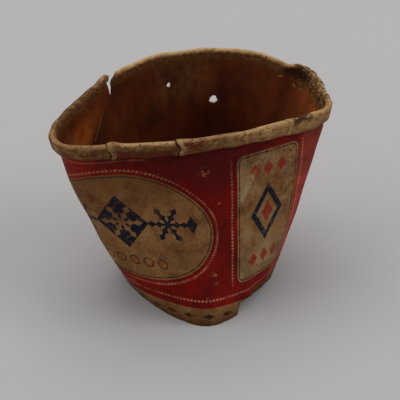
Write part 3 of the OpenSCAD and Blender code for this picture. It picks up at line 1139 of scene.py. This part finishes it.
def finish(g, shader, skin, rough, sheen, height, depth_mm):
    """Feeds a shader with its colour, roughness and even sheen, and with the fibres as a fine bump."""
    g.feed(shader.inputs["Base Color"], skin)
    g.feed(shader.inputs["Roughness"], rough)
    shader.inputs["Specular IOR Level"].default_value = sheen
    made = g.node("ShaderNodeBump")
    made.inputs["Strength"].default_value = BUMP_STRENGTH
    made.inputs["Distance"].default_value = depth_mm * MM
    g.feed(made.inputs["Height"], height)
    g.feed(shader.inputs["Normal"], made.outputs["Normal"])


print("sheen of print and card", PRINT_SHEEN, CARD_SHEEN)

# %% [markdown]
# The inks have aged in their own ways, and some light is painted in with them. The red and the top of the
# oval are darkened by painted shade under the brim, the red is made paler by a painted sheen at the right
# side, and the buff has turned brown where it was greasy. Each change is a mask, laid over the colour
# below it as a glaze would be, so that every one can be made stronger or weaker by itself.

# %% The red ground and the buff fields
# Stretches of the print, as shares of a turn: where a mark starts, is full, fades and ends.
# SHADED is where painted shade darkens the red under the brim, and DUSTY is where dust lies on it.
SHADED, DUSTY = (0.72, 0.80, 0.86, 0.90), (0.58, 0.62, 0.68, 0.72)
# The painted sheen at the right side lies across the start of the count, so it has two stretches.
SHEEN_BEFORE, SHEEN_AFTER = (0.962, 0.985, 1.01, 1.02), (0.03, 0.01)
BRIM_BEADS_FADE = (0.76, 0.71)


def red_ground(g, place, plan, ageing, flaked, beads, chips):
    """Red ink with painted shade under the brim and a painted sheen at the right side, with rows of beads and
    small chips.
    """
    ground = g.mix(ageing["Clouds"], INK["dark red"], INK["red"])
    ground = g.paint(ground, INK["dark red"], ageing["Mottle"], 0.35)
    ground = g.paint(ground, INK["pale red"], 0.025)
    # Painted shade: the red is darkened under the brim at the front, where the brim's shadow falls.
    shade = g.mul(g.rise(plan.height, 22.0, 42.0), g.span(plan.turn, *SHADED))
    ground = g.paint(ground, INK["dark red"], shade, 0.75)
    # Painted sheen: the red is made paler towards the right edge, where the card glints at a glancing angle.
    painted_sheen_side = g.most(g.span(plan.turn, *SHEEN_BEFORE), g.rise(plan.turn, *SHEEN_AFTER))
    ground = g.paint(ground, INK["pale red"], painted_sheen_side, g.between(ageing["Mottle"], 0.36, 0.76))
    dusty = g.mul(g.span(plan.turn, *DUSTY), g.rise(plan.height, 34.0, 44.0))
    ground = g.paint(ground, INK["pale red"], dusty, 0.08)
    patchy = g.rise(g.noise(place, 4.0, detail=3, rough=0.6), 0.36, 0.56)
    # The beads are dimmed in the painted shade and made bolder in the painted sheen at the right side.
    bold = g.mul(g.between(flaked, 0.8, 0.2), g.between(shade, 1.0, 0.5), g.between(patchy, 0.45, 1.05))
    ground = g.paint(ground, INK["bead"], beads, g.most(bold, g.mul(painted_sheen_side, 0.75)))
    return g.paint(ground, INK["pale red"], chips, 0.75)


def buff_fields(g, place, plan, ageing, oval, panel):
    """Buff card with specks and grain, darkened at the top of the oval by painted shade under the brim, and
    rubbed grey on the panel.
    """
    specks = g.group(flecks, Place=place, Size=0.7, Amount=0.18).outputs["Mask"]
    grain = g.rise(g.noise(place, 0.45, detail=3, rough=0.6), 0.46, 0.66)
    rubbed = g.rise(g.noise(place, 5.0, detail=5, rough=0.65), 0.46, 0.62)
    buff = g.mix(ageing["Clouds"], INK["brown buff"], INK["buff"])
    buff = g.paint(buff, INK["pale buff"], ageing["Mottle"], 0.5)
    buff = g.paint(buff, INK["brown buff"], specks, 0.6)
    buff = g.paint(buff, INK["brown buff"], grain, 0.45)
    # Painted shade: the top of the oval, under the brim, is darkened to brown.
    buff = g.paint(buff, INK["brown buff"], g.rise(plan.height, 32.0, 44.0), oval, 0.6)
    buff = g.paint(buff, INK["rubbed buff"], rubbed, panel, 0.45)
    buff = g.paint(buff, INK["rubbed buff"], g.rise(plan.panel[1], -5.0, -11.0), panel, 0.25)
    return g.paint(buff, INK["brown buff"], panel, 0.1)


print("inks", len(INK))

# %% Wear, dirt and painted shade over the print
# The first stretch is where the sooty dirt and painted shade under the brim are weaker. The second is the
# worn notch at the foot.
LESS_SOOT_AND_SHADE, NOTCHED = (0.58, 0.62, 0.69, 0.76), (0.905, 0.925, 0.975, 0.99)
FRONT_PANEL_FROM = (0.84, 0.86)
LAP_EDGE_HALF_MM = 0.12
FRAY_MM = 2.4


def worn_panel(g, place, plan, panel, skin):
    """The front panel is the most handled: flaked at top and right, browned and smeared above its middle."""
    x, y = plan.panel
    front = g.mul(g.rise(plan.turn, *FRONT_PANEL_FROM), panel)
    flakes = g.noise(place, 0.9, detail=5, rough=0.72)
    edges = g.mul(g.most(g.rise(y, 12.5, 16.0), g.rise(x, 5.5, 8.5)), front)
    skin = g.paint(skin, INK["rubbed buff"], edges, g.rise(flakes, 0.44, 0.36), 0.65)
    skin = g.paint(skin, INK["black"], edges, g.rise(flakes, 0.55, 0.63), 0.7)
    from_brown = g.length(g.div(g.sub(x, 1.5), 6.0), g.div(g.sub(y, 8.6), 2.6))
    skin = g.paint(skin, INK["brown buff"], g.rise(from_brown, 1.1, 0.3), front, 0.45)
    from_smear = g.absolute(g.sub(g.add(x, 6.5), g.mul(g.sub(y, 8.8), 0.55)))
    smear = g.mul(g.rise(from_smear, 1.5, 0.4), g.span(y, 3.5, 6.0, 10.5, 13.5))
    return g.paint(skin, INK["rubbed buff"], smear, front, g.rise(flakes, 0.62, 0.42))


def outside_dirt_and_shade(g, place, plan, ageing, flaked, panel, skin):
    """Stains, sooty dirt and painted shade under the brim, scuffs, the lap's pale edge, and darkening and
    fraying at the foot.
    """
    soaked = g.group(stain, Place=place, Size=13.0, Spread=0.42).outputs
    skin = g.paint(skin, INK["grime and shade"], soaked["Mask"], 0.30)
    skin = g.paint(skin, INK["grime and shade"], soaked["Tide"], 0.25)
    # Sooty dirt under the brim, with painted shade where the brim's shadow falls. It is weaker at the left
    # and on the panel.
    soot_and_shade_under_brim = g.mul(g.rise(plan.height, 34.0, 49.0), g.between(ageing["Mottle"], 0.25, 0.65))
    less_soot_and_shade = g.mul(g.between(g.span(plan.turn, *LESS_SOOT_AND_SHADE), 1.0, 0.4), g.between(panel, 1.0, 0.4))
    skin = g.paint(skin, INK["grime and shade"], soot_and_shade_under_brim, less_soot_and_shade)
    for turn_at, height, size in SCUFFS:
        off = g.length(g.mul(g.sub(plan.turn, turn_at), plan.way_round), g.sub(plan.height, height))
        skin = g.paint(skin, INK["bead"], g.rise(off, size, 0.3 * size), flaked, 0.6)
    from_lap = g.mul(g.absolute(g.sub(plan.turn, seam.max())), plan.way_round)
    skin = g.paint(skin, INK["pale buff"], g.inside(g.sub(from_lap, LAP_EDGE_HALF_MM)), 0.6)
    above_floor = g.split(place)[2]
    # Darker towards the floor, over the lowest 6 mm of the foot.
    darker_near_floor = g.mul(g.rise(above_floor, 6.0, 0.5), g.between(ageing["Mottle"], 0.25, 0.85))
    skin = g.paint(skin, INK["grime and shade"], darker_near_floor, 0.75)
    _, above_edge = uv_parts(g, "foot")
    frayed = g.add(above_edge, g.mul(g.sub(g.noise(place, 1.1, detail=4, rough=0.7), 0.5), FRAY_MM))
    notched = g.span(plan.turn, *NOTCHED)
    skin = g.paint(skin, INK["brown buff"], g.rise(frayed, 2.2, 1.4), notched, 0.8)
    return g.paint(skin, INK["grime and shade"], g.rise(frayed, 1.9, 0.2), g.between(notched, 0.42, 0.75))


print("scuffs", len(SCUFFS))

# %% The printed card's material


def printed_outside():
    material, g, shader = new_material("printed_outside")
    place, plan = place_in_mm(g), PrintPlan(g)
    ageing = g.group(aged_card, Place=place).outputs
    chips = g.group(flecks, Place=place, Size=1.6, Amount=0.05).outputs["Mask"]
    flaked = g.rise(g.noise(place, 1.3, detail=5, rough=0.75), 0.52, 0.60)
    oval, oval_navy, oval_dots, oval_line, oval_beads = oval_print(g, *plan.oval)
    panel, panel_navy, panel_red, panel_line, panel_beads = panel_print(g, *plan.panel)
    band, marks, low_beads, high_beads = foot_print(g, plan)

    high_beads = g.mul(high_beads, g.rise(plan.turn, *BRIM_BEADS_FADE), 0.6)
    beads = g.most(oval_beads, panel_beads, low_beads, high_beads)
    ground = red_ground(g, place, plan, ageing, flaked, beads, chips)
    skin = g.mix(g.most(oval, panel, band), ground, buff_fields(g, place, plan, ageing, oval, panel))
    kept = g.between(flaked, 1.0, 0.7)
    navy = g.most(g.mul(oval_navy, oval), g.mul(panel_navy, panel))
    lines = g.most(g.mul(oval_line, oval), g.mul(panel_line, panel), g.mul(marks, band))
    skin = g.paint(skin, INK["orange"], oval_dots, kept)
    skin = g.paint(skin, INK["panel red"], panel_red, panel, kept)
    skin = g.paint(skin, INK["navy"], navy, kept)
    skin = g.paint(skin, INK["black"], lines, g.between(flaked, 0.9, 0.4))

    skin = worn_panel(g, place, plan, panel, skin)
    skin = outside_dirt_and_shade(g, place, plan, ageing, flaked, panel, skin)
    height = g.sub(ageing["Height"], g.mul(chips, 0.3))
    finish(g, shader, skin, g.between(ageing["Mottle"], 0.50, 0.72), PRINT_SHEEN, height, 0.12)
    return material


outside_finish = printed_outside()
print("printed outside has", len(outside_finish.node_tree.nodes), "nodes")

# %% [markdown]
# ## The inside and the brim
#
# The other side of the sheet has no print. It was waxed, and years of fat and dust have turned it dark
# brown in the tub, while the brim, which is the same face rolled outwards, was rubbed back to tan. One
# material covers both: the distance from the crest says where the brown gives way to the rubbed card.

# %% Colours and marks of the bare card
CARD = {
    "dark": colour(58, 22, 8), "brown": colour(86, 37, 12), "rust": colour(112, 46, 14),
    "lit amber": colour(156, 80, 27), "soot and shade": colour(34, 13, 5), "tan": colour(146, 110, 66),
    "pale": colour(182, 150, 104), "worn brown": colour(96, 60, 29), "red brown": colour(80, 30, 16),
    "crack": colour(46, 24, 11), "greasy": colour(60, 33, 13), "core": colour(206, 192, 168),
    "old core": colour(150, 128, 98),
}
# Scratches on the inside, from place to place: share of a turn and mm up the slope. Then their strength.
SCRATCHES = [
    (CREASE_TOP, CREASE_FOOT, 0.15), ((0.4790, 43.4), CREASE_FOOT, 0.45),
    ((0.5212, 51.4), (0.5008, 46.3), 0.1),
]
# Pale flecks under the brim, in the same way.
PALE_FLECKS = [((0.1590, 49.4), (0.1530, 49.9), 0.55), ((0.1352, 48.4), (0.1322, 48.1), 0.45)]
SCRATCH_HALF_MM, CRACK_STRAY_MM = 0.11, 1.1
# Stretches of the brim and the inside, as those of the print. In the hollow no light reaches the card.
BROWNED, RUBBED_AND_LIT_CREST = (0.43, 0.50, 0.85, 0.90), (0.708, 0.714, 0.778, 0.783)
AT_BACK, SOOTY = (0.16, 0.20, 0.38, 0.44), (0.45, 0.48, 0.56, 0.61)
SPILT, SCORCHED = (0.780, 0.796, 0.812, 0.835), (0.943, 0.952, 0.976, 0.984)
HOLLOW, CRUMBLED = (0.110, 0.122, 0.148, 0.158), (0.02, 0.04, 0.13, 0.145)
PRESSED_LOW_SPAN, BLOOM = (0.695, 0.699, 0.779, 0.783), (0.25, 0.30, 0.345, 0.38)
MOTTLED = (0.45, 0.47, 0.58, 0.62)


def round_place(g, turn, across, squeeze):
    """A place for noise that closes round the tub, with its lumps drawn out along the brim."""
    bearing, reach = g.mul(turn, math.tau), squeeze * round_mouth / math.tau
    return g.vector(g.mul(g.math("COSINE", bearing), reach), g.mul(g.math("SINE", bearing), reach), across)


class InsidePlan:
    """Places on the unprinted side, and the noises that more than one of its marks follow."""

    def __init__(self, g):
        self.place = place_in_mm(g)
        self.turn, self.across = uv_parts(g, "section")
        self.height = g.add(self.across, slope)
        self.ageing = g.group(aged_card, Place=self.place).outputs
        self.fibres = g.noise(round_place(g, self.turn, self.across, 0.35), 0.8, detail=5, rough=0.7)
        self.spots = g.noise(round_place(g, self.turn, self.across, 0.8), 1.7, detail=5, rough=0.7)
        self.browned = g.span(self.turn, *BROWNED)


def scratch_mask(g, plan, start, end):
    """1 on a thin straight scratch between two places on the wall."""
    run = (end[0] - start[0]) * round_mouth, end[1] - start[1]
    x, y = g.mul(g.sub(plan.turn, start[0]), round_mouth), g.sub(plan.height, start[1])
    share = g.div(g.add(g.mul(x, run[0]), g.mul(y, run[1])), run[0] ** 2 + run[1] ** 2)
    share = g.least(g.most(share, 0.0), 1.0)
    off = g.length(g.sub(x, g.mul(share, run[0])), g.sub(y, g.mul(share, run[1])))
    return g.inside(g.sub(off, SCRATCH_HALF_MM), 0.1)


def scratched(g, plan, skin, scratches):
    for start, end, strength in scratches:
        skin = g.paint(skin, CARD["pale"], scratch_mask(g, plan, start, end), strength)
    return skin


print("card colours", len(CARD))

# %% The waxed inside


def inner_colour(g, plan):
    """Dark brown wax with streaks, stains and scratches, and painted light in orange-brown on the two ends of
    the tub, which face the lamps.
    """
    place, turn, height, ageing = plan.place, plan.turn, plan.height, plan.ageing
    soaked = g.group(stain, Place=place, Size=9.0, Spread=0.45).outputs["Mask"]
    runs = g.rise(g.noise(g.stretch(place, 1.0, 1.0, 0.12), 3.5, detail=3, rough=0.5), 0.35, 0.68)
    blotchy = g.rise(g.noise(place, 3.2, detail=5, rough=0.7), 0.46, 0.62)
    lean = (CREASE_FOOT[0] - CREASE_TOP[0]) / (CREASE_TOP[1] - CREASE_FOOT[1])
    past_crease = g.sub(g.sub(turn, CREASE_TOP[0]), g.mul(g.sub(CREASE_TOP[1], height), lean))
    # Painted light: the inner walls at both ends face the lamps and are lightened, with dark blotches in
    # them.
    left = g.mul(g.rise(past_crease, 0.0, 0.035), g.rise(turn, 0.64, 0.56), g.rise(height, 50.0, 42.0))
    right = g.mul(g.most(g.rise(turn, 0.17, 0.05), g.rise(turn, 0.94, 0.98)), g.between(runs, 0.6, 1.0))
    bloom = g.mul(g.span(turn, *BLOOM), g.span(height, 36.0, 43.0, 49.0, 53.0))
    skin = g.mix(g.mul(runs, 0.5), CARD["dark"], CARD["brown"])
    skin = g.paint(skin, CARD["rust"], ageing["Clouds"], 0.35)
    skin = g.paint(skin, CARD["lit amber"], left, g.between(ageing["Clouds"], 0.4, 0.9))
    skin = g.paint(skin, CARD["lit amber"], right, g.between(ageing["Clouds"], 0.6, 1.0))
    skin = g.paint(skin, CARD["dark"], g.most(left, right), blotchy, 0.45)
    # Painted shade: a dark band runs along the crease, on the side of it that faces away from the light.
    skin = g.paint(skin, CARD["soot and shade"], g.span(past_crease, -0.06, -0.01, -0.004, 0.0), 0.45)
    skin = g.paint(skin, CARD["soot and shade"], soaked, 0.22)
    skin = g.paint(skin, CARD["tan"], bloom, g.add(runs, ageing["Mottle"]), 0.10)
    return scratched(g, plan, skin, SCRATCHES)


def crest_band_colour(g, plan, crumpled_here):
    """The inner side of the brim: dark and greasy, with rubbed fibres, crumbling where it was crumpled."""
    fibres = g.noise(round_place(g, plan.turn, plan.across, 0.5), 0.7, detail=5, rough=0.7)
    crumbs = g.noise(plan.place, 1.0, detail=4, rough=0.66)
    greasy = g.mix(g.mul(g.rise(fibres, 0.36, 0.58), 0.9), CARD["greasy"], CARD["worn brown"])
    crumbling = g.mul(g.rise(crumbs, 0.445, 0.63), g.between(plan.ageing["Mottle"], 0.3, 0.9))
    skin = g.mix(crumpled_here, greasy, g.mix(crumbling, CARD["greasy"], CARD["tan"]))
    hollow = g.mul(g.span(plan.turn, *HOLLOW), g.span(plan.across, -4.6, -3.2, -0.5, 0.2))
    return g.paint(skin, CARD["soot and shade"], hollow, 0.9)


print("inside has", len(SCRATCHES), "scratches and", len(PALE_FLECKS), "flecks")

# %% The rubbed brim


def brim_card(g, plan):
    """Tan card with brown fibres along the brim, greasy in front, pale on the crest, where it is rubbed and
    has a painted highlight, and pale at the back.
    """
    turn, across, ageing = plan.turn, plan.across, plan.ageing
    streaks = g.noise(round_place(g, turn, g.add(across, 20.0), 0.2), 0.9, detail=4, rough=0.65)
    # The crest is paler: partly rubbed card, and partly a painted highlight where its top faces the light
    # above.
    bare = g.add(g.between(plan.browned, 0.45, 0.20), g.mul(g.span(turn, *RUBBED_AND_LIT_CREST), 0.4))
    skin = g.mix(g.rise(plan.fibres, 0.36, 0.60), CARD["worn brown"], CARD["tan"])
    skin = g.paint(skin, CARD["pale"], g.rise(plan.spots, 0.5, 0.66), 0.5)
    skin = g.paint(skin, CARD["pale"], g.rise(turn, 0.86, 0.92), g.between(ageing["Clouds"], 0.05, 0.25))
    skin = g.paint(skin, CARD["worn brown"], plan.browned, g.between(ageing["Mottle"], 0.25, 0.75))
    skin = g.paint(skin, CARD["greasy"], plan.browned, g.rise(streaks, 0.52, 0.64), 0.55)
    skin = g.paint(skin, CARD["pale"], g.rise(g.absolute(g.sub(across, 0.2)), 1.0, 0.2), bare)
    at_back = g.between(g.rise(plan.spots, 0.4, 0.6), 0.42, 0.87)
    return g.paint(skin, CARD["pale"], g.span(turn, *AT_BACK), at_back)


def brim_dirt(g, plan, skin):
    """Crumbs at the squashed corner, sooty grease at the left, stains in red, red-brown low on the face, and
    specks all over.
    """
    turn, across, fibres, spots = plan.turn, plan.across, plan.fibres, plan.spots
    crumbs = g.noise(plan.place, 0.8, detail=4, rough=0.66)
    blots = g.group(stain, Place=plan.place, Size=4.0, Spread=0.30).outputs["Mask"]
    dirt = g.noise(round_place(g, turn, g.add(across, 40.0), 0.7), 0.6, detail=3, rough=0.6)
    uneven = g.add(across, g.mul(g.sub(spots, 0.5), 3.0))
    crumbled = g.mul(g.span(turn, *CRUMBLED), g.rise(across, 2.4, 0.6))
    # The face turns red-brown towards its lower edge, and most of all low on the pressed stretch.
    low_edge = g.mul(g.rise(uneven, 2.6, 4.6), 0.5)
    pressed_low = g.mul(g.rise(uneven, 2.1, 2.9), g.span(turn, *PRESSED_LOW_SPAN), 0.85)
    spilt = g.mul(g.span(turn, *SPILT), g.span(uneven, 0.6, 1.5, 3.0, 4.2))
    scorched = g.mul(g.span(turn, *SCORCHED), g.rise(uneven, 2.4, 1.5))
    skin = g.paint(skin, CARD["greasy"], crumbled, g.rise(crumbs, 0.57, 0.46), 0.85)
    skin = g.paint(skin, CARD["greasy"], g.span(turn, *SOOTY), g.rise(spots, 0.66, 0.46), 0.75)
    skin = g.paint(skin, CARD["red brown"], blots, 0.35)
    skin = g.paint(skin, CARD["red brown"], g.most(low_edge, pressed_low))
    skin = g.paint(skin, CARD["red brown"], spilt, g.rise(fibres, 0.66, 0.48), 0.95)
    skin = g.paint(skin, CARD["greasy"], scorched, g.rise(fibres, 0.66, 0.50))
    skin = g.paint(skin, CARD["crack"], g.rise(dirt, 0.60, 0.68), 0.6)
    return g.paint(skin, CARD["crack"], plan.browned, g.rise(dirt, 0.54, 0.62), 0.38)


def brim_cracks(g, plan, skin):
    """Each crack is a dark split of uneven width, with a pale lip after it."""
    stray = g.mul(g.sub(g.noise(plan.place, 1.5, detail=3), 0.5), CRACK_STRAY_MM / round_mouth)
    gape = g.add(0.15, g.rise(g.noise(plan.place, 1.2, detail=3, rough=0.6), 0.3, 0.7))
    for at, depth, _ in BRIM_CRACKS:
        after = g.mul(g.sub(g.add(plan.turn, stray), at), round_mouth)
        skin = g.paint(skin, CARD["pale"], g.span(after, 0.1, 0.4, 0.9, 1.8), gape, depth)
        split = g.inside(g.sub(g.absolute(after), g.mul(gape, 0.8 * depth)), 0.15)
        skin = g.paint(skin, CARD["crack"], split, min(0.9, 0.35 + depth))
    return skin


print("brim has", len(BRIM_CRACKS), "cracks")

# %% The unprinted card's material


def waxed_inside():
    material, g, shader = new_material("waxed_inside")
    plan = InsidePlan(g)
    crumpled_here = g.most(g.rise(plan.turn, 0.150, 0.125), g.rise(plan.turn, 0.985, 0.995))
    mottled = g.add(g.mul(crumpled_here, 5.0), g.mul(g.span(plan.turn, *MOTTLED), 3.0))
    ragged = g.mul(g.sub(g.noise(plan.place, 1.1, detail=4, rough=0.7), 0.5), g.add(2.0, mottled))
    edge = g.add(plan.across, ragged)
    on_band = g.rise(g.add(edge, g.mul(crumpled_here, 1.6)), -4.6, -1.8)
    skin = g.mix(on_band, inner_colour(g, plan), crest_band_colour(g, plan, crumpled_here))
    skin = scratched(g, plan, skin, PALE_FLECKS)
    brim = brim_cracks(g, plan, brim_dirt(g, plan, brim_card(g, plan)))
    skin = g.mix(g.rise(edge, -1.5, -0.3), skin, brim)
    rough = g.between(plan.ageing["Mottle"], 0.46, 0.76)
    finish(g, shader, skin, rough, CARD_SHEEN, plan.ageing["Height"], 0.16)
    return material


inside_finish = waxed_inside()
print("waxed inside has", len(inside_finish.node_tree.nodes), "nodes")

# %% [markdown]
# ## Torn edges and the base
#
# Where card is torn, its core shows, paler than either face and rough. The base is a second piece of
# bare card, and what was spilt has soaked into it from above. Both could share the inside's material,
# but it follows the brim, so each gets a short one of its own from the same groups.

# %% Torn edges and the bare base


def torn_edge():
    material, g, shader = new_material("torn_edge")
    place = place_in_mm(g)
    ageing = g.group(aged_card, Place=place).outputs
    dirty = g.group(stain, Place=place, Size=3.0, Spread=0.4).outputs["Mask"]
    skin = g.mix(ageing["Mottle"], CARD["old core"], CARD["core"])
    skin = g.paint(skin, CARD["worn brown"], dirty, 0.6)
    finish(g, shader, skin, 0.85, CARD_SHEEN, ageing["Height"], 0.15)
    return material


def bare_base():
    material, g, shader = new_material("bare_base")
    place = place_in_mm(g)
    ageing = g.group(aged_card, Place=place).outputs
    soaked = g.group(stain, Place=place, Size=16.0, Spread=0.55).outputs
    specks = g.group(flecks, Place=place, Size=0.9, Amount=0.2).outputs["Mask"]
    skin = g.mix(ageing["Clouds"], CARD["worn brown"], CARD["tan"])
    skin = g.paint(skin, CARD["brown"], ageing["Mottle"], 0.4)
    skin = g.paint(skin, CARD["brown"], soaked["Mask"], 0.45)
    skin = g.paint(skin, CARD["dark"], soaked["Tide"], 0.3)
    skin = g.paint(skin, CARD["dark"], specks, 0.6)
    finish(g, shader, skin, g.between(ageing["Mottle"], 0.55, 0.85), CARD_SHEEN, ageing["Height"], 0.2)
    return material


edge_finish, base_finish = torn_edge(), bare_base()
print("finishes", edge_finish.name, base_finish.name)

# %% [markdown]
# ## Cut, dress and hand over
#
# The finishes go on before the cut, because the Boolean then carries the torn-edge finish over to the
# faces it makes. The finished wall stands for the CAD wall, and the base keeps its CAD shape.

# %% Cut the wall
SHARP_EDGE_DEG = 50


def cut_wall():
    for finish in (outside_finish, inside_finish, edge_finish):
        wall.data.materials.append(finish)
    cutters.data.materials.append(edge_finish)
    cut = wall.modifiers.new("tear and holes", "BOOLEAN")
    cut.object = cutters
    cut.operation = "DIFFERENCE"
    cut.solver = "EXACT"
    cut.material_mode = "TRANSFER"
    whole = wall.evaluated_get(bpy.context.evaluated_depsgraph_get())
    mesh = bpy.data.meshes.new_from_object(whole)
    wall.modifiers.clear()
    old = wall.data
    wall.data = mesh
    bpy.data.meshes.remove(old)
    bpy.data.objects.remove(cutters)
    mesh.name = "card_wall"
    mesh.set_sharp_from_angle(angle=math.radians(SHARP_EDGE_DEG))
    return mesh


wall_mesh = cut_wall()
wall_mesh.calc_loop_triangles()
print("wall has", len(wall_mesh.loop_triangles), "triangles in", len(wall_mesh.materials), "materials")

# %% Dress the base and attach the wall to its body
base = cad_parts["base_panel"]
base.data.materials.clear()
base.data.materials.append(base_finish)
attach(wall, "root")
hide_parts("tub_wall")
